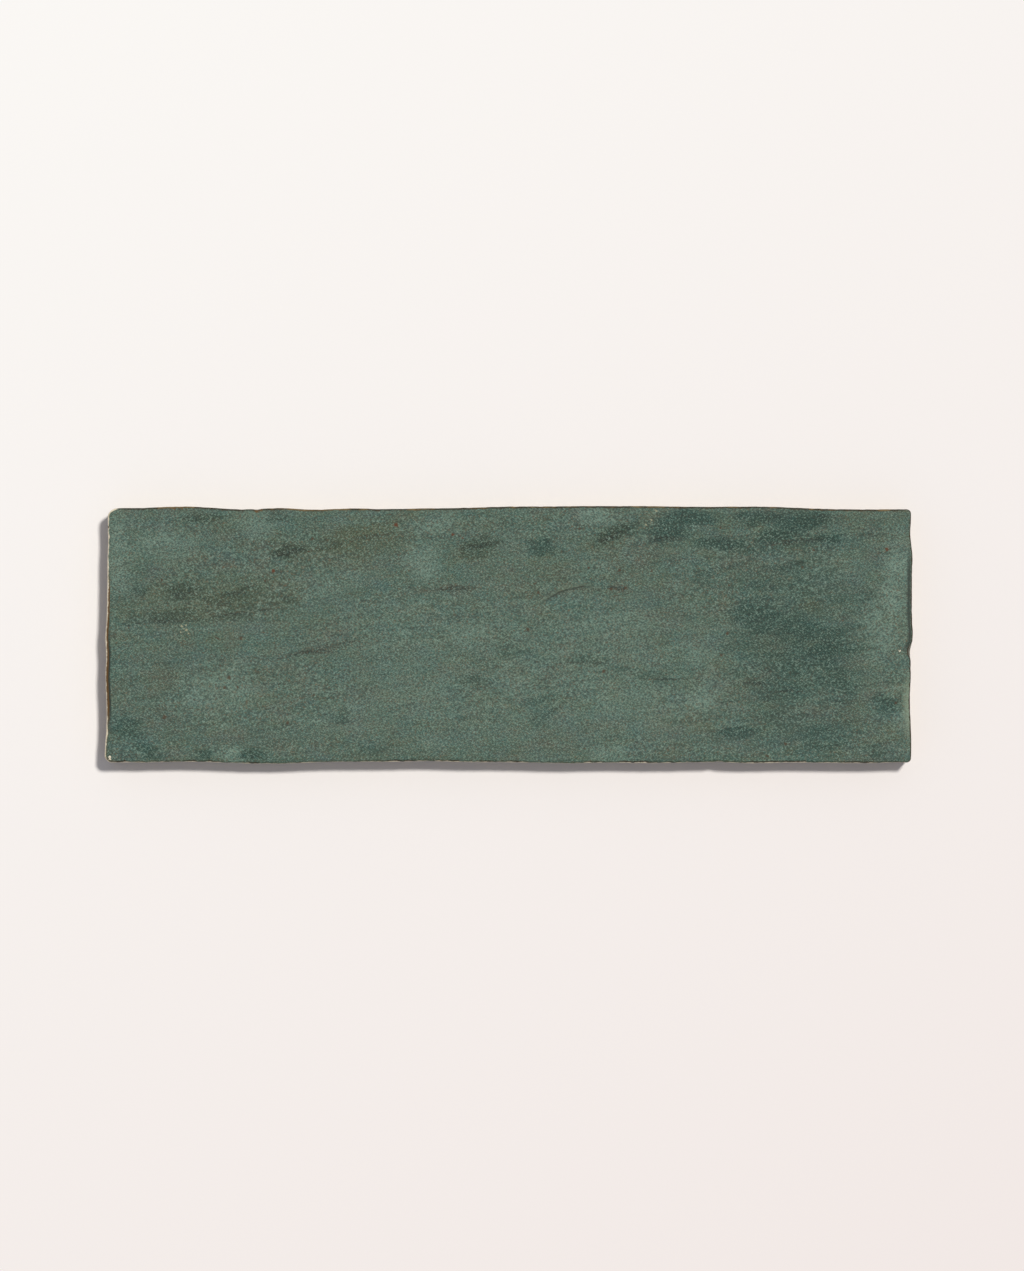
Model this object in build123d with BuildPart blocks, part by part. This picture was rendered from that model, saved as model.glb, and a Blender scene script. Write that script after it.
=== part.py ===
"""Slim glazed wall tile with a hand-pressed look, one fired piece, in millimetres.

The tile lies on its back: +X runs along its length, +Z points up out of the glazed face,
and the origin is the middle of the back. The sides wander in and out, the arris is softly
rounded, the face is gently hollowed, and the back has keying grooves for its bed.
"""

import os
from math import floor

from build123d import *

# Overall sizes, over the furthest points of the wandering sides
length = 201.8
width = 64.4
thickness = 8.6

# How far each side lies inside the overall size, at even steps from corner to corner
back_side_set_back = (
    0.5, 0.4, 0.1, 0.5, 0.8, 0.5, 0.9, 0.6, 0.7, 0.6, 0.5, 0.3,
    0.1, 0.1, 0.0, 0.0, 0.0, 0.1, 0.2, 0.1, 0.2, 0.5, 0.8, 0.8, 0.8,
)
front_side_set_back = (
    0.3, 0.3, 0.5, 0.4, 0.1, 0.0, 0.3, 0.5, 0.5, 0.6, 0.6, 0.4,
    0.4, 0.2, 0.1, 0.3, 0.2, 0.2, 0.4, 0.2, 0.2, 0.3, 0.2, 0.2, 0.3,
)
left_end_set_back = (0.0, 0.3, 0.5, 0.4, 0.2, 0.4, 0.2, 0.5, 0.6, 0.7, 0.7, 0.9, 0.7)
right_end_set_back = (0.4, 0.4, 0.6, 0.7, 0.5, 0.5, 0.0, 0.2, 0.2, 0.2, 0.1, 0.6, 0.4)

# Corner radii in plan; the back left corner is worn the most
front_left_radius = 1.8
front_right_radius = 1.2
back_right_radius = 1.2
back_left_radius = 2.6

# Section: walls that lean in towards the back, a rounded arris and a broken back edge
wall_lean = 0.5
arris_radius = 0.6
back_chamfer = 0.5

# Face: rows of long shallow hollows left by pressing, inside a level rim
hollow_length = 72.0
hollow_breadth = 28.0
hollow_depth = 0.3
hollow_turn = 5.0
hollow_columns = 3
hollow_rows = 2
rim_width = 3.0

# Nicks in the sides, from the nearest corner; depth is from the overall size, at the face
end_nick_from_front = 28.0
end_nick_depth = 1.3
end_nick_radius = 3.4
back_nick_from_left = 38.0
back_nick_depth = 1.15
back_nick_radius = 1.6
front_nick_from_right = 48.5
front_nick_depth = 0.7
front_nick_radius = 3.8
nick_fade = 1.2

# Back: keying grooves along the length, inside a plain border
groove_width = 4.0
groove_depth = 0.6
groove_draft = 30.0
rib_width = 4.0
back_border = 7.0

# The walls reach the overall size at the foot of the arris, and lean on out to the face
head_flare = wall_lean * arris_radius / (thickness - arris_radius)

east, north = Vector(1, 0), Vector(0, 1)


def side_points(start, end, set_backs, outward):
    """Points along a side at even steps, each pulled in from the side's own line."""
    steps = len(set_backs) - 1
    points = []
    for step, set_back in enumerate(set_backs):
        along = start + (end - start) * (step / steps)
        points.append(along - outward * set_back)
    return points


def outline(lean):
    """Draws the tile's outline, drawn in by lean all round, on the line builder in use."""
    half_x, half_y = length / 2, width / 2
    front_left = Vector(
        -half_x + left_end_set_back[0] + front_left_radius,
        -half_y + front_side_set_back[0] + front_left_radius,
    )
    front_right = Vector(
        half_x - right_end_set_back[0] - front_right_radius,
        -half_y + front_side_set_back[-1] + front_right_radius,
    )
    back_right = Vector(
        half_x - right_end_set_back[-1] - back_right_radius,
        half_y - back_side_set_back[-1] - back_right_radius,
    )
    back_left = Vector(
        -half_x + left_end_set_back[-1] + back_left_radius,
        half_y - back_side_set_back[0] - back_left_radius,
    )
    reach_x, reach_y = half_x - lean, half_y - lean
    front = side_points(
        Vector(front_left.X, -reach_y), Vector(front_right.X, -reach_y), front_side_set_back, -north
    )
    right = side_points(
        Vector(reach_x, front_right.Y), Vector(reach_x, back_right.Y), right_end_set_back, east
    )
    back = side_points(
        Vector(back_left.X, reach_y), Vector(back_right.X, reach_y), back_side_set_back, north
    )
    left = side_points(
        Vector(-reach_x, front_left.Y), Vector(-reach_x, back_left.Y), left_end_set_back, -east
    )
    Spline(*front, tangents=(east, east))
    RadiusArc(front[-1], right[0], -(front_right_radius - lean))
    Spline(*right, tangents=(north, north))
    RadiusArc(right[-1], back[-1], -(back_right_radius - lean))
    Spline(*reversed(back), tangents=(-east, -east))
    RadiusArc(back[0], left[-1], -(back_left_radius - lean))
    Spline(*reversed(left), tangents=(-north, -north))
    RadiusArc(left[0], front[0], -(front_left_radius - lean))


def dish_radius(breadth, depth):
    """Radius of the arc that is this broad at the face and this deep."""
    return breadth**2 / (8 * depth) + depth / 2


with BuildPart() as tile:
    # Body with leaning walls, a rounded arris and a broken back edge
    with BuildSketch(Plane.XY) as foot:
        with BuildLine():
            outline(wall_lean)
        make_face()
    with BuildSketch(Plane.XY.offset(thickness)) as head:
        with BuildLine():
            outline(-head_flare)
        make_face()
    loft(ruled=True)
    fillet(tile.faces().sort_by(Axis.Z)[-1].edges(), arris_radius)
    chamfer(tile.faces().sort_by(Axis.Z)[0].edges(), back_chamfer)

    # Hollows: each is cut by the lowest part of a ring that stands on the face
    radius_along = dish_radius(hollow_length, hollow_depth)
    radius_across = dish_radius(hollow_breadth, hollow_depth)
    pitch_along = (length - 2 * rim_width - hollow_length) / (hollow_columns - 1)
    pitch_across = (width - 2 * rim_width - hollow_breadth) / (hollow_rows - 1)
    ring_height = thickness - hollow_depth + radius_along
    for hollow in GridLocations(pitch_along, pitch_across, hollow_columns, hollow_rows):
        with Locations(Location(hollow.position + Vector(0, 0, ring_height), (0, 0, hollow_turn))):
            Torus(radius_along - radius_across, radius_across, rotation=(90, 0, 0), mode=Mode.SUBTRACT)

    # Nicks: upright cones that bite deepest at the face and fade towards the back
    end_nick = Vector(length / 2, end_nick_from_front - width / 2)
    back_nick = Vector(back_nick_from_left - length / 2, width / 2)
    front_nick = Vector(length / 2 - front_nick_from_right, -width / 2)
    for place, outward, depth, radius in (
        (end_nick, east, end_nick_depth, end_nick_radius),
        (back_nick, north, back_nick_depth, back_nick_radius),
        (front_nick, -north, front_nick_depth, front_nick_radius),
    ):
        with Locations(place + outward * (radius - depth)):
            Cone(
                radius - nick_fade * depth,
                radius,
                thickness,
                align=(Align.CENTER, Align.CENTER, Align.MIN),
                mode=Mode.SUBTRACT,
            )

    # Keying grooves in pairs, so that a rib runs down the middle of the back
    groove_pitch = groove_width + rib_width
    groove_border = wall_lean + back_chamfer + back_border
    groove_pairs = floor((width - 2 * groove_border + rib_width) / (2 * groove_pitch))
    with BuildSketch(Plane.XY) as grooves:
        with GridLocations(0, groove_pitch, 1, 2 * groove_pairs):
            SlotOverall(length - 2 * groove_border, groove_width)
    extrude(amount=groove_depth, taper=groove_draft, mode=Mode.SUBTRACT)

tile.part.label = "tile"
os.makedirs("parts", exist_ok=True)
export_step(tile.part, "parts/tile.step")
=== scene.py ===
import math

import bmesh
import bpy
from mathutils import Matrix, Vector, noise
from mathutils.bvhtree import BVHTree


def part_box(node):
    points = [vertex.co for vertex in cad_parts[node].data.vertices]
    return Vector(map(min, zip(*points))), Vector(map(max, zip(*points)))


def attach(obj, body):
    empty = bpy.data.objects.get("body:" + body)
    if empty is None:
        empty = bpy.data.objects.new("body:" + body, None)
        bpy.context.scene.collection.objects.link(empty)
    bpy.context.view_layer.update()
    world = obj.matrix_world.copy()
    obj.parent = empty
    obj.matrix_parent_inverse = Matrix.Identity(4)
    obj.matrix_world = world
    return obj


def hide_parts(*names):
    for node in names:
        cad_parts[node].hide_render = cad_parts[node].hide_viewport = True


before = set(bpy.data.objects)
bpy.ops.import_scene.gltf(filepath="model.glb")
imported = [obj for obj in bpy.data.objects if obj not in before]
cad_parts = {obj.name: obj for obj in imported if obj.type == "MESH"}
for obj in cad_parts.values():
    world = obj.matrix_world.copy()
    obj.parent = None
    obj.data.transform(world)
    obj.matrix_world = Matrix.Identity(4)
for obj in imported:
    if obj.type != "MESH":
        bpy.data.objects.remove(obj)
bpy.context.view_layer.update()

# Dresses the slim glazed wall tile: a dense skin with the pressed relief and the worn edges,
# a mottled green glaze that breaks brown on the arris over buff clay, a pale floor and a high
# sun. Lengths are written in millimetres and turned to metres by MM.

MM = 0.001
SEED = Vector((3.7, 11.3, 5.9))

# Section of the tile, as the solid has it
ARRIS_RADIUS = 0.6
BACK_CHAMFER = 0.5
GROOVE_WIDTH = 4.0
GROOVE_DEPTH = 0.6
GROOVE_DRAFT = 30.0
GROOVE_PITCH = 8.0
GROOVE_COUNT = 6
GROOVE_BORDER = 8.0

# Mesh of the skin; a groove's segments are shared by its two round ends
FACE_STEP = 0.45
ARRIS_STEPS = 6
WALL_STEPS = 8
GROOVE_SEGMENTS = 18

# Measuring the solid: how near doubles are merged, how far outside its box a ray starts, how
# far from a corner the rays fan out, and the digits that tell two heights apart
MERGE_REACH = 0.001
RAY_LEAD = 1.0
FAN_REACH = 4.0
HEIGHT_DIGITS = 4

# Faces whose normal points down past this are the flat back
BACK_FACING = -0.9

# Relief of the face: how far its edge falls and over what reach, then the depth, length and
# breadth of each kind of wave and its shift through the noise
EDGE_FALL, EDGE_FALL_REACH = 0.12, 5.0
PRESSING_WAVES = (0.16, 34.0, 15.0, 0.0)
DRAG_MARKS = (0.05, 16.0, 1.7, 4.0)
PRESSED_GRAIN = (0.022, 1.3, 1.3, 9.0)

# Ragged edge of the glaze: its depth, and the length of its fine and coarse bites
RAGGED_DEPTH, RAGGED_FINE, RAGGED_COARSE = 0.1, 1.6, 4.8

# Hair line where a fold in the glaze has closed: an arc, by its middle and radius, the y where
# it starts and the x where it ends; the painted highlight on its outer side starts and is full this far
# outside it
HAIR_MIDDLE = (20.2, -8.2)
HAIR_RADIUS = 20.2
HAIR_START = 8.0
HAIR_END = 20.6
HAIR_FADE = 2.0
HAIR_WIDTH = 0.34
HAIR_CORE = 0.1
HAIR_PAINTED_HIGHLIGHT = (1.2, 0.4)
HAIR_DEPTH = 0.06

low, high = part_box("tile")


def merged_solid():
    """The tile's solid as one welded bmesh, to measure from."""
    solid = bmesh.new()
    solid.from_mesh(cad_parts["tile"].data)
    bmesh.ops.remove_doubles(solid, verts=solid.verts, dist=MERGE_REACH * MM)
    return solid


solid = merged_solid()
surface = BVHTree.FromBMesh(solid)
solid.free()


class Rim:
    """Rays from the tile's box towards its middle, one for each vertex on the border of the face."""

    def __init__(self, columns, rows):
        self.columns, self.rows = columns, rows
        self.reach = FAN_REACH * MM
        self.found = {}

    def ray(self, column, row):
        """Start on the tile's box and direction inwards; the rays fan out round each corner."""
        start = Vector((
            low.x + (high.x - low.x) * column / self.columns,
            low.y + (high.y - low.y) * row / self.rows,
            0.0,
        ))
        target = Vector((
            min(max(start.x, low.x + self.reach), high.x - self.reach),
            min(max(start.y, low.y + self.reach), high.y - self.reach),
            0.0,
        ))
        return start, (target - start).normalized()

    def point(self, column, row, height):
        """Where the solid's wall lies on this ray at this height, and the ray's direction."""
        key = (column, row, round(height / MM, HEIGHT_DIGITS))
        if key not in self.found:
            start, inwards = self.ray(column, row)
            start.z = height
            place = surface.ray_cast(start - inwards * (RAY_LEAD * MM), inwards)[0]
            self.found[key] = (place, inwards)
        return self.found[key]


def fade(distance, reach):
    """1 at no distance, easing to 0 at the reach."""
    share = min(1.0, max(0.0, 1 - distance / reach))
    return share * share


def wave(point, length, breadth, shift):
    """Seeded noise from -1 to 1 in plan, drawn out along the tile's length."""
    spot = Vector((point.x / (length * MM), point.y / (breadth * MM), shift))
    return noise.noise(spot + SEED)


def hair_furrow(point):
    """Depth of the hair line's furrow at a point in plan, in millimetres."""
    x, y = point.x / MM, point.y / MM
    beyond = max(0.0, x - HAIR_END, HAIR_START - y)
    aside = abs(math.dist((x, y), HAIR_MIDDLE) - HAIR_RADIUS)
    return HAIR_DEPTH * fade(aside, 2 * HAIR_WIDTH) * fade(beyond, HAIR_FADE)


def face_relief(point, inside):
    """How far the glaze lies under the solid's face, in millimetres, at a distance inside the outline."""
    drop = EDGE_FALL * fade(inside, EDGE_FALL_REACH)
    for depth, length, breadth, shift in (PRESSING_WAVES, DRAG_MARKS, PRESSED_GRAIN):
        drop += depth * (1 + wave(point, length, breadth, shift)) / 2
    return drop + hair_furrow(point)


def ragged(point):
    """How far the glazed edge draws back from the solid's outline, in millimetres."""
    coarse = max(0.0, noise.noise(point / (RAGGED_COARSE * MM) + SEED))
    fine = max(0.0, noise.noise(point / (RAGGED_FINE * MM) - SEED))
    return RAGGED_DEPTH * (coarse + fine)


def blend_in_plan(rim_point, column, row):
    """A vertex of the face, blended between the four sides of its border."""
    u, v = column / rim.columns, row / rim.rows
    sides = (
        rim_point(column, 0) * (1 - v) + rim_point(column, rim.rows) * v
        + rim_point(0, row) * (1 - u) + rim_point(rim.columns, row) * u
    )
    corners = (
        rim_point(0, 0) * (1 - u) * (1 - v) + rim_point(rim.columns, 0) * u * (1 - v)
        + rim_point(0, rim.rows) * (1 - u) * v + rim_point(rim.columns, rim.rows) * u * v
    )
    return sides - corners


arris_foot = high.z - ARRIS_RADIUS * MM
rim = Rim(
    round((high.x - low.x) / (FACE_STEP * MM)),
    round((high.y - low.y) / (FACE_STEP * MM)),
)


def outer_edge(column, row):
    """The ragged outline at the foot of the arris, and the direction inwards."""
    place, inwards = rim.point(column, row, arris_foot)
    return place + inwards * (ragged(place) * MM), inwards


def inner_edge(column, row):
    """The line where the arris runs into the face, in plan."""
    place, inwards = outer_edge(column, row)
    inner = place + inwards * (ARRIS_RADIUS * MM)
    inner.z = 0.0
    return inner


def face_point(column, row):
    """A vertex of the glazed face and its distance inside the outline, in millimetres."""
    place = blend_in_plan(inner_edge, column, row)
    inside = ARRIS_RADIUS + FACE_STEP * min(column, rim.columns - column, row, rim.rows - row)
    down = surface.ray_cast(Vector((place.x, place.y, 2 * high.z)), Vector((0, 0, -1)))[0]
    place.z = min(down.z, high.z) - face_relief(place, inside) * MM
    return place, inside


def arris_point(column, row, step):
    """A vertex on the rounded arris and its distance inside the outline, in millimetres."""
    top, _ = face_point(column, row)
    _, inwards = outer_edge(column, row)
    angle = math.pi / 2 * step / ARRIS_STEPS
    radius = ARRIS_RADIUS * MM
    place = top - inwards * (radius * math.sin(angle))
    place.z = top.z - radius * (1 - math.cos(angle))
    return place, ARRIS_RADIUS * (1 - math.sin(angle))


def wall_point(column, row, step):
    """A vertex on the leaning wall; its distance counts down from the arris, in millimetres."""
    foot, _ = arris_point(column, row, ARRIS_STEPS)
    bottom = BACK_CHAMFER * MM
    height = foot.z + (bottom - foot.z) * step / WALL_STEPS
    place, inwards = rim.point(column, row, height)
    return place + inwards * (ragged(place) * MM), (height - foot.z) / MM


def back_point(column, row, step):
    """A vertex on the back's edge, inside the chamfer."""
    place, inwards = rim.point(column, row, BACK_CHAMFER * MM)
    inset = place + inwards * ((ragged(place) + BACK_CHAMFER) * MM)
    inset.z = low.z
    return inset, -high.z / MM


def shape_skin():
    """The closed skin of the tile: face grid, arris, walls, and a back with its keying grooves."""
    skin = bmesh.new()
    column_of = skin.verts.layers.int.new("column")
    row_of = skin.verts.layers.int.new("row")
    inside_of = skin.verts.layers.float.new("inside")
    bmesh.ops.create_grid(skin, x_segments=rim.columns, y_segments=rim.rows, size=1.0)
    for vertex in skin.verts:
        vertex[column_of] = round((vertex.co.x + 1) / 2 * rim.columns)
        vertex[row_of] = round((vertex.co.y + 1) / 2 * rim.rows)
    for vertex in skin.verts:
        vertex.co, vertex[inside_of] = face_point(vertex[column_of], vertex[row_of])

    # Arris, wall and back edge are extruded ring by ring from the border of the face
    rings = [(arris_point, step) for step in range(1, ARRIS_STEPS + 1)]
    rings += [(wall_point, step) for step in range(1, WALL_STEPS + 1)]
    rings.append((back_point, 1))
    border = [edge for edge in skin.edges if edge.is_boundary]
    for ring_point, step in rings:
        made = bmesh.ops.extrude_edge_only(skin, edges=border)["geom"]
        for vertex in made:
            if isinstance(vertex, bmesh.types.BMVert):
                vertex.co, vertex[inside_of] = ring_point(vertex[column_of], vertex[row_of], step)
        border = [edge for edge in made if isinstance(edge, bmesh.types.BMEdge) and edge.is_boundary]

    groove_edges = []
    for index in range(GROOVE_COUNT):
        groove_edges += groove(skin, (index - (GROOVE_COUNT - 1) / 2) * GROOVE_PITCH * MM)
    bmesh.ops.triangle_fill(skin, edges=border + groove_edges, use_beauty=True, normal=(0, 0, -1))
    bmesh.ops.recalc_face_normals(skin, faces=skin.faces)
    return skin


def groove(skin, across):
    """One keying groove with drafted sides; gives back the edges of its mouth."""
    inside_of = skin.verts.layers.float["inside"]
    length = (high.x - low.x) - 2 * GROOVE_BORDER * MM
    depth = GROOVE_DEPTH * MM
    slope = math.tan(math.radians(GROOVE_DRAFT))
    mouth = bmesh.ops.create_circle(
        skin, segments=GROOVE_SEGMENTS, radius=GROOVE_WIDTH / 2 * MM, cap_ends=False
    )["verts"]
    for vertex in mouth:
        vertex.co.x += math.copysign(length / 2 - GROOVE_WIDTH / 2 * MM, vertex.co.x)
        vertex.co.y += across
        vertex.co.z = low.z
        vertex[inside_of] = -high.z / MM
    edges = list({edge for vertex in mouth for edge in vertex.link_edges})
    made = bmesh.ops.extrude_edge_only(skin, edges=edges)["geom"]
    floor_verts = [item for item in made if isinstance(item, bmesh.types.BMVert)]
    half_floor = 1 - slope * depth / (GROOVE_WIDTH / 2 * MM)
    for vertex in floor_verts:
        end = math.copysign(length / 2 - GROOVE_WIDTH / 2 * MM, vertex.co.x)
        vertex.co.x = end + (vertex.co.x - end) * half_floor
        vertex.co.y = across + (vertex.co.y - across) * half_floor
        vertex.co.z = low.z + depth
    floor_edges = [
        item for item in made if isinstance(item, bmesh.types.BMEdge) and item.is_boundary
        and item.verts[0] in floor_verts and item.verts[1] in floor_verts
    ]
    bmesh.ops.contextual_create(skin, geom=floor_edges)
    return edges


def linear(hex_colour):
    """A colour written as sRGB hex, as the linear values that a shader takes."""
    parts = [int(hex_colour[place:place + 2], 16) / 255 for place in (1, 3, 5)]
    return [part / 12.92 if part <= 0.04045 else ((part + 0.055) / 1.055) ** 2.4 for part in parts] + [1.0]


def node(tree, kind, inputs=(), **settings):
    """Adds a node with its settings; each input is a value or another node's output."""
    made = tree.nodes.new(kind)
    for name, value in settings.items():
        setattr(made, name, value)
    for socket, value in dict(inputs).items():
        if isinstance(value, bpy.types.NodeSocket):
            tree.links.new(value, made.inputs[socket])
        else:
            made.inputs[socket].default_value = value
    return made


# Sockets of a Mix node that mixes colours
MIX_FACTOR, MIX_A, MIX_B, MIX_RESULT = 0, 6, 7, 2

# Rim of a mark and core of a spot, as shares of their own half sizes
MARK_RIM_START, MARK_RIM_FULL = 1.2, 0.3
SPOT_CORE = 0.45

# How far tears bite into a mark, and where what they leave starts and is full
TEAR_BITE = 1.6
TEAR_START, TEAR_FULL = 0.95, 1.75

# Marks in the glaze: middle x and y, half length, half breadth, turn in degrees, strength
MARK_TURNS = (-10, 0, 5, 10, 20)
TEAL_POOLS = (
    (72.0, -2.0, 23.0, 38.0, 0, 0.58),
    (66.0, 15.0, 22.0, 12.0, 0, 0.38),
    (40.4, 26.3, 6.5, 5.0, 0, 1.00),
    (46.6, 29.4, 9.0, 2.6, 0, 1.00),
    (62.0, 29.5, 9.0, 1.6, 0, 0.82),
    (74.0, 28.3, 9.0, 2.8, 0, 1.00),
    (66.6, 24.8, 6.0, 2.2, 5, 1.00),
    (80.4, 24.4, 5.0, 1.6, 0, 0.97),
    (52.9, 22.5, 10.0, 2.0, 0, 1.00),
    (7.9, 22.3, 4.2, 2.6, 10, 1.00),
    (61.6, 4.4, 10.0, 5.0, -10, 1.00),
    (71.6, 2.0, 9.0, 5.0, -10, 1.00),
    (80.0, -3.0, 6.0, 7.5, 0, 1.00),
    (83.5, -12.0, 4.5, 9.0, 10, 0.72),
    (63.0, -9.0, 6.0, 4.0, 0, 0.56),
    (49.0, 13.0, 5.0, 4.0, 0, 0.49),
    (93.4, -17.5, 3.2, 3.4, 0, 0.72),
    (57.8, -24.4, 8.0, 1.8, 0, 1.00),
    (79.0, -25.0, 12.0, 5.0, 0, 0.73),
    (92.8, -28.8, 7.0, 2.5, 0, 0.55),
    (-94.7, -23.8, 6.0, 3.8, -10, 0.78),
    (-89.7, -28.8, 6.0, 2.0, -10, 0.82),
    (-76.6, -30.2, 3.0, 1.3, 0, 1.00),
    (-63.4, -30.2, 4.5, 1.6, 0, 0.85),
    (-33.4, -28.8, 5.0, 2.5, 0, 0.56),
    (-41.0, -21.0, 4.0, 1.8, 10, 0.56),
    (1.6, -3.8, 8.0, 2.5, -10, 0.49),
    (19.0, -6.3, 7.0, 1.5, 0, 0.56),
    (33.0, -9.4, 8.0, 1.5, -10, 0.56),
    (8.0, -18.0, 4.5, 11.0, 0, 0.4),
    (-92.8, 10.6, 2.6, 3.0, 0, 0.82),
)
OLIVE_STREAKS = (
    (-54.6, 21.0, 6.5, 2.2, 10, 1.0),
    (-45.0, 22.6, 6.0, 1.6, 10, 0.5),
    (-80.3, 10.6, 7.5, 3.4, 0, 0.78),
    (-67.0, 8.8, 19.0, 4.4, 0, 0.47),
    (-54.6, 8.8, 4.0, 2.4, 0, 0.6),
    (-84.6, 5.2, 11.0, 1.6, 5, 0.62),
    (-70.0, 4.6, 12.0, 1.2, 5, 0.63),
    (-94.0, 4.0, 3.0, 3.0, 0, 0.51),
    (-7.1, 21.9, 6.0, 2.8, 10, 0.72),
    (-11.0, 20.6, 4.0, 1.4, 10, 0.63),
    (25.4, 24.8, 6.5, 2.6, 20, 1.00),
    (30.0, 26.8, 4.0, 1.6, 10, 0.76),
    (-76.0, 29.4, 8.0, 1.6, 0, 0.63),
    (-58.0, 29.4, 4.0, 2.0, 0, 0.63),
    (-8.4, -11.3, 6.0, 1.5, 5, 0.55),
    (68.0, 26.0, 34.0, 7.0, 0, 0.3),
)
AMBER_STAINS = (
    (-38.0, 24.4, 15.0, 3.5, 20, 0.9),
    (-33.0, 23.0, 11.0, 5.0, 10, 0.6),
    (-50.0, 21.0, 8.0, 3.0, 10, 0.5),
    (-74.0, 8.4, 27.0, 6.4, 5, 0.66),
    (-8.0, 21.0, 8.0, 3.5, 10, 0.5),
    (9.0, 14.0, 10.0, 5.0, 20, 0.35),
    (25.0, 24.0, 9.0, 3.0, 10, 0.5),
    (75.4, 7.5, 5.0, 3.4, 0, 0.8),
)
BROWN_STREAKS = (
    (-47.3, -3.7, 9.0, 1.3, 10, 0.75),
    (-40.0, -1.0, 5.0, 1.0, 20, 0.4),
    (-66.0, -6.0, 6.0, 1.2, 10, 0.4),
    (-14.6, 11.6, 12.0, 1.3, 0, 0.95),
    (-11.0, 10.8, 4.0, 1.4, 0, 0.5),
    (9.0, 10.0, 7.0, 1.2, 5, 0.7),
    (19.0, 11.5, 6.0, 1.0, 5, 0.5),
    (27.3, 11.3, 3.4, 1.4, 5, 0.95),
    (36.6, 10.0, 8.0, 1.5, 0, 0.35),
    (36.6, 20.6, 3.0, 1.6, 0, 0.5),
    (10.3, -9.0, 3.0, 2.5, 0, 0.6),
    (9.0, -25.6, 3.0, 3.0, 0, 0.5),
    (64.0, -9.0, 5.0, 3.2, 0, 0.4),
    (-84.7, -11.3, 4.0, 5.0, 0, 0.35),
)
PALE_PATCHES = (
    (-99.0, 21.0, 5.5, 13.0, 0, 0.8),
    (-6.0, -10.0, 60.0, 24.0, 0, 0.3),
    (-72.0, -13.7, 11.0, 9.0, 0, 0.72),
    (-84.7, 22.5, 9.0, 5.0, 5, 0.72),
    (-63.0, 27.5, 5.5, 3.8, 0, 0.79),
    (-22.0, 18.8, 6.0, 6.0, 0, 0.85),
    (-44.7, 13.0, 9.0, 4.0, 5, 0.46),
    (-18.0, 28.0, 6.0, 3.0, 0, 0.46),
    (21.6, 29.4, 5.0, 2.2, 0, 0.79),
    (24.0, 2.5, 18.0, 5.0, 0, 0.46),
    (-28.0, 3.0, 18.0, 7.0, 0, 0.34),
    (-10.0, 0.0, 9.0, 4.0, 0, 0.56),
    (-24.0, -16.0, 18.0, 9.0, 0, 0.40),
    (-20.0, -27.0, 8.0, 3.0, 0, 0.53),
    (30.0, -17.5, 16.0, 8.0, 0, 0.46),
    (46.6, -5.0, 6.0, 3.2, 0, 0.66),
    (49.0, -16.0, 5.0, 4.0, 0, 0.79),
    (-69.0, -30.5, 4.0, 3.0, 0, 1.0),
    (25.3, -30.5, 6.5, 4.0, 0, 1.0),
    (91.6, 0.0, 5.0, 9.0, 0, 0.85),
    (97.0, 14.0, 5.0, 16.0, 0, 0.91),
    (82.0, 16.0, 8.0, 4.0, 0, 0.40),
)

# Fine lines dragged into the wet glaze, written as the marks are
DRAG_LINES = (
    (-84.0, 3.6, 9.0, 0.6, 0, 0.75),
    (-65.0, 5.6, 13.0, 0.7, 5, 0.7),
    (-81.0, 10.2, 6.0, 0.8, 0, 0.8),
    (-68.0, 10.6, 4.0, 0.7, 0, 0.6),
    (-56.0, 9.4, 3.5, 0.8, 5, 0.7),
    (-54.6, 20.8, 5.5, 0.9, 10, 1.0),
    (-34.5, 24.6, 8.0, 0.7, 10, 0.7),
    (-14.0, 11.5, 7.0, 0.7, 0, 1.0),
    (-27.0, 12.0, 6.0, 0.5, 0, 0.6),
    (27.0, 11.5, 3.4, 0.6, 0, 0.9),
    (-49.8, -4.3, 6.0, 0.6, 10, 0.95),
    (-41.0, -1.8, 4.0, 0.5, 20, 0.6),
    (-71.0, -7.6, 3.0, 0.5, 10, 0.7),
    (-57.0, -12.1, 7.0, 0.5, 0, 0.6),
    (-47.0, -15.6, 10.0, 0.5, 0, 0.5),
    (-54.8, -22.2, 3.0, 0.6, 0, 0.8),
    (17.8, -7.0, 8.0, 0.6, 0, 0.7),
    (39.0, -10.9, 10.0, 0.5, 0, 0.75),
    (69.7, -14.1, 9.5, 0.45, 0, 1.0),
    (62.0, -11.9, 3.5, 0.5, 0, 0.8),
    (71.0, 23.3, 11.0, 0.8, 5, 0.85),
    (40.5, 24.0, 6.5, 0.8, 0, 0.8),
    (80.0, 29.4, 6.5, 0.7, 0, 0.7),
    (-7.5, 22.0, 5.0, 0.8, 10, 0.7),
    (25.0, 24.2, 4.5, 0.8, 20, 0.9),
)

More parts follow.
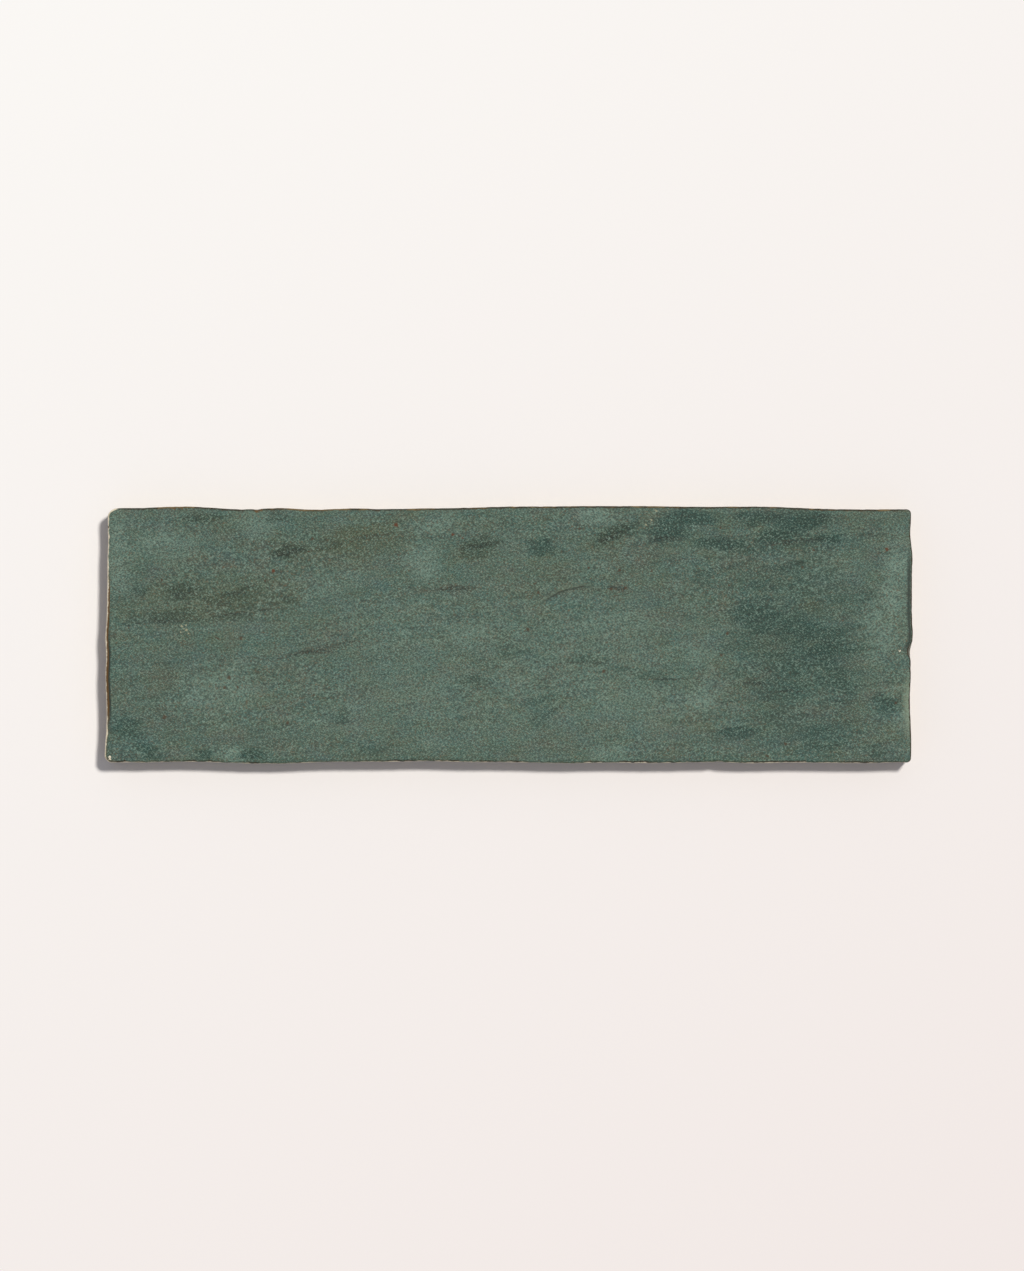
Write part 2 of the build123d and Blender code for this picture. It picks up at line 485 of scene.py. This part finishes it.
# Specks burnt through the glaze: x, y and radius
RED_SPECKS = (
    (-58.8, 16.0, 0.6), (-28.1, 27.5, 0.7), (-13.9, 25.0, 0.45), (-11.5, 24.2, 0.3), (94.4, 21.4, 0.55),
)
BROWN_SPECKS = (
    (17.7, 26.6, 0.45), (19.9, 16.8, 0.45), (27.6, 16.2, 0.5), (35.6, 16.0, 0.4), (7.3, 10.6, 0.5),
    (4.8, 1.4, 0.5), (6.5, 12.8, 0.35), (23.8, -9.0, 0.5), (55.0, 12.5, 0.4),
    (54.6, 0.4, 0.5), (53.1, -5.0, 0.4), (73.3, 16.9, 0.4), (76.2, 21.2, 0.35), (52.8, 26.8, 0.4),
    (-85.9, -20.5, 0.7), (-66.8, -0.8, 0.5), (-72.7, -0.8, 0.4), (-71.0, -13.1, 0.5),
    (-48.7, -15.0, 0.4), (-55.2, -22.0, 0.5), (-60.9, 13.5, 0.35), (-86.6, 13.7, 0.4),
    (-49.0, 24.0, 0.5), (-49.9, 20.8, 0.35), (69.1, -27.2, 0.5), (64.6, -30.2, 0.45), (96.6, -17.0, 0.4),
    (-69.8, -10.6, 0.6), (-67.6, -13.0, 0.4), (25.6, 11.4, 0.5), (29.2, 11.8, 0.5),
)
PALE_SPECKS = (
    (-81.6, 2.2, 0.34), (-80.4, 1.2, 0.4), (-81.9, 0.7, 0.26), (-80.6, 2.4, 0.26), (-81.1, 1.5, 0.24),
    (-79.9, 0.3, 0.24), (34.3, 27.5, 0.36), (35.6, 28.7, 0.3), (36.8, 31.0, 0.34),
)

# Chips in the edge that show the clay, and nicks where iron has burnt the edge: x, y and radius
CHIPS = ((-99.6, -30.5, 0.4), (-99.5, -31.0, 0.3), (97.6, -4.0, 0.28))
RUST_NICKS = (
    (-62.9, 31.0, 0.7), (-61.8, 31.2, 0.5), (-83.5, 31.6, 0.5), (-81.5, 31.6, 0.4), (-100.2, 27.0, 0.5),
)

# Sides of the tile, by x or y: where each side's own edge finish starts and is full
LEFT_SIDE = (-97.4, -98.4)
RIGHT_SIDE = (97.2, 98.4)
FRONT_SIDE = (-30.2, -31.0)
BACK_SIDE = (30.2, 31.0)

# How far a finish wobbles across the edge, and where one that keeps off the walls starts and is full
EDGE_WOBBLE = 0.16
OFF_WALLS = (-0.5, -0.1)

# Stretches of the two ends, by y: where each finish, painted shade and painted highlight starts and is full
# at its back and front limits; the bare clay has one stretch towards the back and one towards the front
# The left end's band of painted shade, where the edge falls away from the light
LEFT_PAINTED_SHADE = ((7.0, -4.0), (-25.0, -18.0))
LEFT_BROWN = ((16.0, 11.0), (-23.0, -19.0))
LEFT_BARE = ((-7.0, -2.0), (-18.0, -21.0))
RIGHT_GATHERED = ((22.0, 17.0), (-6.0, -2.0))
# The right end's pale band in front is a painted highlight
RIGHT_PAINTED_HIGHLIGHT = ((-9.0, -15.0), (-27.0, -21.0))

# Walls, by the height under the arris: where the glaze turns thin, the shortest and longest run,
# and how far a run fades each way
THIN_GLAZE = (-0.1, -0.8)
RUN_ENDS = (-0.7, -3.6)
RUN_FADE = 0.7

# Surface: the glaze between its ridges and on them, how much rougher the clay is, and the bump
# of the leathery grain
GLAZE_IOR = 1.5
GLAZE_SPECULAR = 0.3
GLAZE_ROUGHNESS = (0.52, 0.68)
CLAY_ROUGHER = 0.3
GRAIN_BUMP_STRENGTH = 0.5
GRAIN_BUMP_HEIGHT = 0.1


class Glaze:
    """The glaze's nodes: its patterns, and its colours laid one over another.

    A limit is a value, where its share starts and is full, and the least and most share if they
    aren't 0 and 1. Plans are in millimetres.
    """

    def __init__(self, tree):
        self.tree = tree
        self.place = node(tree, "ShaderNodeTexCoord").outputs["Object"]
        self.inside = node(tree, "ShaderNodeAttribute", attribute_name="inside").outputs["Fac"]
        self.plan = node(tree, "ShaderNodeVectorMath", {
            0: self.place, 1: (1 / MM, 1 / MM, 0.0),
        }, operation="MULTIPLY").outputs[0]
        self.x, self.y, _ = node(tree, "ShaderNodeSeparateXYZ", {0: self.plan}).outputs
        self.colour = linear("#475c4e")

        # Plans pushed about by noise, so that marks have torn rims, and turned as the marks are
        self.drift = self.pattern(5.5, (1.8, 0.9, 1.0), 7.0, detail=6.0, roughness=0.72).outputs["Color"]
        self.fleck = self.pattern(0.42, detail=1.0).outputs["Color"]
        self.speck_plan = self.pushed(self.fleck, (0.9, 0.7, 0.0))
        cloud_plan = self.pushed(self.drift, (14.0, 7.5, 0.0))
        line_plan = self.pushed(self.drift, (5.0, 2.0, 0.0))
        self.cloud_plans, self.line_plans = {}, {}
        for turn in MARK_TURNS:
            for plans, plan in ((self.cloud_plans, cloud_plan), (self.line_plans, line_plan)):
                turned = node(tree, "ShaderNodeVectorRotate", {
                    "Vector": plan, "Angle": math.radians(-turn),
                }, rotation_type="Z_AXIS")
                plans[turn] = turned.outputs[0]

    def pattern(self, size, stretch=(1.0, 1.0, 1.0), turn=0.0, detail=3.0, roughness=0.5):
        """Noise whose blots are about this many millimetres across, turned in plan and drawn out."""
        local = node(self.tree, "ShaderNodeMapping", {
            "Vector": self.place,
            "Rotation": (0.0, 0.0, math.radians(turn)),
            "Scale": [size * MM * part for part in stretch],
        }, vector_type="TEXTURE")
        return node(self.tree, "ShaderNodeTexNoise", {
            "Vector": local.outputs[0], "Scale": 1.0, "Detail": detail, "Roughness": roughness,
        })

    def pushed(self, drift, reach):
        """The plan pushed about by a noise, up to about a quarter of the reach each way."""
        centred = node(self.tree, "ShaderNodeVectorMath", {
            0: drift, 1: (0.5, 0.5, 0.5),
        }, operation="SUBTRACT")
        shift = node(self.tree, "ShaderNodeVectorMath", {
            0: centred.outputs[0], 1: reach,
        }, operation="MULTIPLY")
        return node(self.tree, "ShaderNodeVectorMath", {0: self.plan, 1: shift.outputs[0]}).outputs[0]

    def marks(self, plans, marks):
        """Oval marks laid over one another, each soft at its rim, as one value."""
        total = 0.0
        for x, y, half_length, half_breadth, turn, strength in marks:
            middle = Matrix.Rotation(math.radians(-turn), 3, "Z") @ Vector((x, y, 0.0))
            local = node(self.tree, "ShaderNodeVectorMath", {
                0: plans[turn], 1: (1 / half_length, 1 / half_breadth, 0.0),
            }, operation="MULTIPLY")
            away = node(self.tree, "ShaderNodeVectorMath", {
                0: local.outputs[0], 1: (middle.x / half_length, middle.y / half_breadth, 0.0),
            }, operation="DISTANCE")
            soft = node(self.tree, "ShaderNodeMapRange", {
                "Value": away.outputs["Value"], "From Min": MARK_RIM_START, "From Max": MARK_RIM_FULL,
                "To Max": strength,
            }, interpolation_type="SMOOTHSTEP")
            joined = node(self.tree, "ShaderNodeMath", {0: soft.outputs[0], 1: total}, operation="MAXIMUM")
            total = joined.outputs[0]
        return total

    def spots(self, spots):
        """Small round spots with crisp rims, as one value."""
        total = 0.0
        for x, y, radius in spots:
            away = node(self.tree, "ShaderNodeVectorMath", {
                0: self.speck_plan, 1: (x, y, 0.0),
            }, operation="DISTANCE")
            spot = node(self.tree, "ShaderNodeMapRange", {
                "Value": away.outputs["Value"], "From Min": radius, "From Max": SPOT_CORE * radius,
            }, interpolation_type="SMOOTHSTEP")
            joined = node(self.tree, "ShaderNodeMath", {0: spot.outputs[0], 1: total}, operation="MAXIMUM")
            total = joined.outputs[0]
        return total

    def torn(self, mark, tear):
        """A mark that thins out in torn streaks at its rim instead of fading evenly."""
        worn = node(self.tree, "ShaderNodeMath", {0: tear, 1: TEAR_BITE, 2: mark}, operation="MULTIPLY_ADD")
        return self.zone((worn.outputs[0], TEAR_START, TEAR_FULL))

    def zone(self, *limits):
        """How far a place lies within every limit: their shares multiplied, as one value."""
        whole = None
        for value, start, full, *ends in limits:
            least, most = ends or (0.0, 1.0)
            share = node(self.tree, "ShaderNodeMapRange", {
                "Value": value, "From Min": start, "From Max": full, "To Min": least, "To Max": most,
            }).outputs[0]
            if whole is None:
                whole = share
            else:
                whole = node(self.tree, "ShaderNodeMath", {
                    0: whole, 1: share,
                }, operation="MULTIPLY").outputs[0]
        return whole

    def blend(self, first, second, *limits):
        """From the first colour to the second, as far as the limits let it."""
        return node(self.tree, "ShaderNodeMix", {
            MIX_FACTOR: self.zone(*limits), MIX_A: first, MIX_B: second,
        }, data_type="RGBA").outputs[MIX_RESULT]

    def wash(self, colour, *limits):
        """Lays a colour over what is there, as strongly as the limits let it."""
        self.colour = self.blend(self.colour, colour, *limits)

    def tone(self):
        """Body of the glaze: broad clouds, warmer and bluer drifts, and brushed streaks."""
        broad = self.pattern(20.0, (1.8, 0.7, 1.0), detail=5.0, roughness=0.6).outputs["Fac"]
        streaks = self.pattern(2.2, (8.0, 0.65, 1.0), 6.0, detail=5.0, roughness=0.68).outputs["Fac"]
        hue = self.pattern(5.0, (1.6, 1.0, 1.0), detail=6.0, roughness=0.72).outputs["Color"]
        warmth, yellowness, patchiness = node(self.tree, "ShaderNodeSeparateColor", {0: hue}).outputs
        for value, start, full, most, colour in (
            (broad, 0.36, 0.64, 1.0, "#4f6455"),
            (warmth, 0.50, 0.70, 0.8, "#57594b"),
            (warmth, 0.50, 0.30, 0.8, "#3c6158"),
            (yellowness, 0.50, 0.70, 0.6, "#515d42"),
            (yellowness, 0.50, 0.30, 0.6, "#445c5c"),
            (streaks, 0.52, 0.72, 0.6, "#2f4037"),
            (streaks, 0.47, 0.27, 0.5, "#647b6d"),
        ):
            self.wash(linear(colour), (value, start, full, 0.0, most))
        self.patchy = (patchiness, 0.36, 0.60, 0.3, 1.0)
        self.streaky = (streaks, 0.36, 0.56, 0.6, 1.0)

    def pools(self):
        """Pale thin places, stains, and pools where the glaze lies thick, torn along the brush."""
        tear = self.pattern(2.4, (3.2, 0.75, 1.0), 7.0, detail=5.0, roughness=0.66).outputs["Fac"]
        self.wash(linear("#6a8274"), (self.marks(self.cloud_plans, PALE_PATCHES), 0.0, 1.0), self.patchy)
        self.wash(linear("#4b543a"), (self.marks(self.cloud_plans, AMBER_STAINS), 0.0, 1.0), self.streaky)
        teal = self.torn(self.marks(self.cloud_plans, TEAL_POOLS), tear)
        self.wash(linear("#003329"), (teal, 0.0, 1.0, 0.0, 0.8))
        self.wash(linear("#424134"), (self.marks(self.cloud_plans, BROWN_STREAKS), 0.0, 1.4), self.streaky)
        olive = self.torn(self.marks(self.cloud_plans, OLIVE_STREAKS), tear)
        self.wash(linear("#0a2000"), (olive, 0.0, 1.0, 0.0, 0.75))
        lines = self.torn(self.marks(self.line_plans, DRAG_LINES), tear)
        self.wash(linear("#151c10"), (lines, 0.0, 1.0, 0.0, 0.6))
        self.pooled = node(self.tree, "ShaderNodeMath", {0: teal, 1: olive}, operation="MAXIMUM").outputs[0]

    def grain_with_painted_highlight_and_shade(self):
        """Two sets of short ridges that cross, with points of brown and teal; the ridges are painted paler,
        partly as thin glaze and partly as painted highlight, and the gaps darker, partly as pooled glaze and
        partly as painted shade.
        """
        ridges = self.pattern(0.29, (2.0, 1.0, 1.0), 38.0, detail=1.5).outputs["Fac"]
        cross_ridges = self.pattern(0.29, (2.0, 1.0, 1.0), -32.0, detail=1.5).outputs["Fac"]
        self.grain = node(self.tree, "ShaderNodeMath", {
            0: ridges, 1: cross_ridges,
        }, operation="MAXIMUM").outputs[0]
        # Painted highlight on the ridges and painted shade between them, partly the glaze thinning and
        # pooling
        self.wash(linear("#8ea596"), (self.grain, 0.56, 0.76, 0.0, 0.66))
        self.wash(linear("#1c2722"), (self.grain, 0.57, 0.42, 0.0, 0.66))
        brown, _, teal = node(self.tree, "ShaderNodeSeparateColor", {0: self.fleck}).outputs
        self.wash(linear("#67533a"), (brown, 0.55, 0.78, 0.0, 0.7), (self.pooled, 0.1, 0.6, 1.0, 0.3))
        self.wash(linear("#35605a"), (teal, 0.55, 0.78, 0.0, 0.6))

    def specks(self):
        """Specks of iron burnt through the glaze, and pale ones where it crawled."""
        self.wash(linear("#453420"), (self.spots(BROWN_SPECKS), 0.0, 1.0, 0.0, 0.85))
        self.wash(linear("#58341c"), (self.spots(RED_SPECKS), 0.0, 1.0))
        self.wash(linear("#a8a283"), (self.spots(PALE_SPECKS), 0.0, 1.0, 0.0, 0.7))

    def hair_line(self):
        """A dark hair line with a painted highlight on its outer side."""
        from_middle = node(self.tree, "ShaderNodeVectorMath", {
            0: self.pushed(self.drift, (2.0, 2.0, 0.0)), 1: (*HAIR_MIDDLE, 0.0),
        }, operation="DISTANCE").outputs["Value"]
        outside = node(self.tree, "ShaderNodeMath", {
            0: from_middle, 1: HAIR_RADIUS,
        }, operation="SUBTRACT").outputs[0]
        beside = node(self.tree, "ShaderNodeMath", {0: outside}, operation="ABSOLUTE").outputs[0]
        reach = (
            (self.x, HAIR_END, HAIR_END - HAIR_FADE),
            (self.y, HAIR_START - HAIR_FADE / 2, HAIR_START + HAIR_FADE / 2),
        )
        # Painted highlight along the outer side of the hair line
        self.wash(linear("#667560"), *reach, (outside, 0.0, HAIR_WIDTH), (outside, *HAIR_PAINTED_HIGHLIGHT, 0.0, 0.3))
        self.wash(linear("#232a20"), *reach, (beside, HAIR_WIDTH, HAIR_CORE, 0.0, 0.65))

    def edges(self):
        """Worn edges: the left breaks brown and bare past painted shade, the right gathers dark behind and
        has a painted highlight in front.

        The long edges are finer, with brown dashes, and slivers of bare clay in front.
        """
        along = self.pattern(7.0, roughness=0.65).outputs["Fac"]
        self.speckle = self.pattern(1.5, roughness=0.6).outputs["Fac"]
        wobble = self.zone((self.speckle, 0.3, 0.7, -EDGE_WOBBLE, EDGE_WOBBLE))
        section = node(self.tree, "ShaderNodeMath", {0: wobble, 1: self.inside}, operation="ADD").outputs[0]
        left, right = (self.x, *LEFT_SIDE), (self.x, *RIGHT_SIDE)
        front, back = (self.y, *FRONT_SIDE), (self.y, *BACK_SIDE)
        on_arris = (self.inside, *OFF_WALLS)
        clay = self.blend(linear("#d9caa9"), linear("#efe4cd"), (self.grain, 0.35, 0.65))

        # Thick glaze gathered at the right end, painted shade inside the left end, and a painted highlight on
        # the right end's front
        for colour, end, (behind, before), *section_limits in (
            # Painted shade inside the left end
            ("#202a24", left, LEFT_PAINTED_SHADE, (section, 2.0, 1.4, 0.0, 0.95)),
            ("#1c2822", right, RIGHT_GATHERED, (section, 2.1, 1.2, 0.0, 0.8), (section, 0.3, 0.6, 0.15, 1.0)),
            # Painted highlight on the right end's front
            ("#9aa68c", right, RIGHT_PAINTED_HIGHLIGHT, (section, 3.2, 1.0, 0.0, 0.38)),
        ):
            self.wash(linear(colour), end, (self.y, *behind), (self.y, *before), *section_limits)

        # Dark line round the arris, then the finishes of each side
        self.wash(
            linear("#332a19"), on_arris, (self.x, *LEFT_SIDE, 1.0, 0.15), (self.x, *RIGHT_SIDE, 1.0, 0.2),
            (self.y, *FRONT_SIDE, 1.0, 0.5), (section, 0.55, 0.3), (along, 0.3, 0.55, 0.55, 1.0),
        )
        self.wash(linear("#332a19"), right, on_arris, (section, 0.34, 0.16))
        self.wash(
            linear("#5c411e"), left, (self.y, *LEFT_BROWN[0]), (self.y, *LEFT_BROWN[1], 0.2, 1.0),
            (section, 1.05, 0.7),
        )
        self.wash(linear("#7c6a46"), back, on_arris, (section, 0.5, 0.2), (along, 0.5, 0.6, 0.0, 0.85))
        self.wash(clay, left, (section, 0.24, 0.10))
        for stretch in LEFT_BARE:
            self.wash(clay, left, (section, 0.40, 0.20), (self.y, *stretch))
        self.wash(linear("#2b2314"), front, on_arris, (section, 0.55, 0.35), (along, 0.5, 0.58, 0.0, 0.85))
        self.wash(clay, front, on_arris, (section, 0.2, 0.06), (along, 0.35, 0.6, 0.25, 0.8))
        self.wash(linear("#5f4a2c"), (self.spots(RUST_NICKS), 0.0, 1.0), on_arris)
        self.wash(clay, (self.spots(CHIPS), 0.0, 1.0), on_arris)

    def walls(self):
        """Thin glaze runs down over buff clay; the left wall was wiped bare."""
        self.wash(linear("#4d523f"), (self.inside, *THIN_GLAZE), (self.x, *LEFT_SIDE, 1.0, 0.0))
        run = self.pattern(5.0, (1.0, 1.0, 2.5), detail=2.0).outputs["Fac"]
        run_end = self.zone((run, 0.35, 0.65, *RUN_ENDS))
        past_run = node(self.tree, "ShaderNodeMath", {
            0: self.inside, 1: run_end,
        }, operation="SUBTRACT").outputs[0]
        clay = self.blend(linear("#8f8470"), linear("#a99e88"), (self.speckle, 0.3, 0.7))
        self.wash(clay, (past_run, RUN_FADE, -RUN_FADE))
        self.roughness = node(self.tree, "ShaderNodeMath", {
            0: self.zone((self.grain, 0.3, 0.7, *GLAZE_ROUGHNESS)),
            1: self.zone((past_run, RUN_FADE, -RUN_FADE, 0.0, CLAY_ROUGHER)),
        }, operation="ADD").outputs[0]


def satin_green_glaze():
    """Satin copper-green glaze on pressed buff earthenware.

    The glaze is thin over the high grain and pools dark teal in the hollows; the grain also carries
    painted highlight on its ridges and painted shade between them. Iron in the clay stains it olive
    and brown. It runs thin over the arris, where it breaks brown and then bare.
    """
    material = bpy.data.materials.new("satin copper-green glaze on buff earthenware")
    material.use_nodes = True
    tree = material.node_tree
    glaze = Glaze(tree)
    glaze.tone()
    glaze.pools()
    glaze.grain_with_painted_highlight_and_shade()
    glaze.specks()
    glaze.hair_line()
    glaze.edges()
    glaze.walls()
    bump = node(tree, "ShaderNodeBump", {
        "Height": glaze.grain, "Strength": GRAIN_BUMP_STRENGTH, "Distance": GRAIN_BUMP_HEIGHT * MM,
    })
    shader = tree.nodes["Principled BSDF"]
    tree.links.new(glaze.colour, shader.inputs["Base Color"])
    tree.links.new(glaze.roughness, shader.inputs["Roughness"])
    tree.links.new(bump.outputs[0], shader.inputs["Normal"])
    shader.inputs["IOR"].default_value = GLAZE_IOR
    shader.inputs["Specular IOR Level"].default_value = GLAZE_SPECULAR
    return material


def dress_tile():
    """Makes the tile's skin a piece of the scene in place of the plain solid."""
    skin = shape_skin()
    mesh = bpy.data.meshes.new("glazed_tile")
    for face in skin.faces:
        face.smooth = face.normal.z > BACK_FACING
    skin.to_mesh(mesh)
    skin.free()
    tile = bpy.data.objects.new("glazed_tile", mesh)
    bpy.context.scene.collection.objects.link(tile)
    mesh.materials.append(satin_green_glaze())
    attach(tile, "root")
    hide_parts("tile")


# Floor: its size, and how its shade runs from the middle, by direction and reach
FLOOR_SIZE = 6000.0
FLOOR_SLANT = (0.45, -0.9, 0.0)
FLOOR_FADE = 200.0


def lay_floor():
    """Matt warm white card, a little darker and pinker towards the front right."""
    sheet = bmesh.new()
    bmesh.ops.create_grid(sheet, x_segments=1, y_segments=1, size=FLOOR_SIZE / 2 * MM)
    mesh = bpy.data.meshes.new("floor")
    sheet.to_mesh(mesh)
    sheet.free()
    floor = bpy.data.objects.new("floor", mesh)
    bpy.context.scene.collection.objects.link(floor)
    material = bpy.data.materials.new("matt warm white card")
    material.use_nodes = True
    tree = material.node_tree
    shader = tree.nodes["Principled BSDF"]
    place = node(tree, "ShaderNodeTexCoord").outputs["Object"]
    slant = node(tree, "ShaderNodeVectorMath", {0: place, 1: FLOOR_SLANT}, operation="DOT_PRODUCT")
    share = node(tree, "ShaderNodeMapRange", {
        "Value": slant.outputs["Value"], "From Min": -FLOOR_FADE * MM, "From Max": FLOOR_FADE * MM,
    })
    shade = node(tree, "ShaderNodeMix", {
        MIX_FACTOR: share.outputs[0], MIX_A: linear("#f9f7f5"), MIX_B: linear("#f0e8e6"),
    }, data_type="RGBA")
    tree.links.new(shade.outputs[MIX_RESULT], shader.inputs["Base Color"])
    shader.inputs["Roughness"].default_value = 1.0
    shader.inputs["Specular IOR Level"].default_value = 0.0
    mesh.materials.append(material)


# Light: a small high key from the back right, and an even fill
SUN_ELEVATION = 66.8
SUN_AZIMUTH = 44.0
SUN_ANGLE = 7.0
KEY_SHARE = 0.728
FILL_STRENGTH = 0.335
KEY_COLOUR = "#fffdf7"
FILL_COLOUR = "#eef0f9"


def light_scene():
    """A key and a fill that together show a level white card as white."""
    lamp = bpy.data.lights.new("key", "SUN")
    lamp.angle = math.radians(SUN_ANGLE)
    lamp.color = linear(KEY_COLOUR)[:3]
    lamp.energy = KEY_SHARE * math.pi / math.sin(math.radians(SUN_ELEVATION))
    key = bpy.data.objects.new("key", lamp)
    elevation, azimuth = math.radians(SUN_ELEVATION), math.radians(SUN_AZIMUTH)
    towards = Vector((
        math.cos(elevation) * math.cos(azimuth),
        math.cos(elevation) * math.sin(azimuth),
        math.sin(elevation),
    ))
    key.rotation_mode = "QUATERNION"
    key.rotation_quaternion = towards.to_track_quat("Z", "Y")
    bpy.context.scene.collection.objects.link(key)
    world = bpy.data.worlds.new("fill")
    world.use_nodes = True
    background = world.node_tree.nodes["Background"]
    background.inputs["Color"].default_value = linear(FILL_COLOUR)
    background.inputs["Strength"].default_value = FILL_STRENGTH
    bpy.context.scene.world = world


# Camera: straight down from far off; the frame's height at the arris, in millimetres
FRAME_HEIGHT = 317.3
FRAME_MIDDLE = (0.825, -0.125)
LENS = 400.0
SENSOR = 36.0


def place_camera():
    """A long lens over the tile, with the tile's back side at the top of the frame."""
    lens = bpy.data.cameras.new("camera")
    lens.lens = LENS
    lens.sensor_width = SENSOR
    camera = bpy.data.objects.new("camera", lens)
    distance = FRAME_HEIGHT * LENS / SENSOR * MM
    camera.location = (FRAME_MIDDLE[0] * MM, FRAME_MIDDLE[1] * MM, arris_foot + distance)
    bpy.context.scene.collection.objects.link(camera)
    bpy.context.scene.camera = camera


dress_tile()
lay_floor()
light_scene()
place_camera()
bpy.context.scene.view_settings.view_transform = "Standard"

bpy.context.view_layer.update()
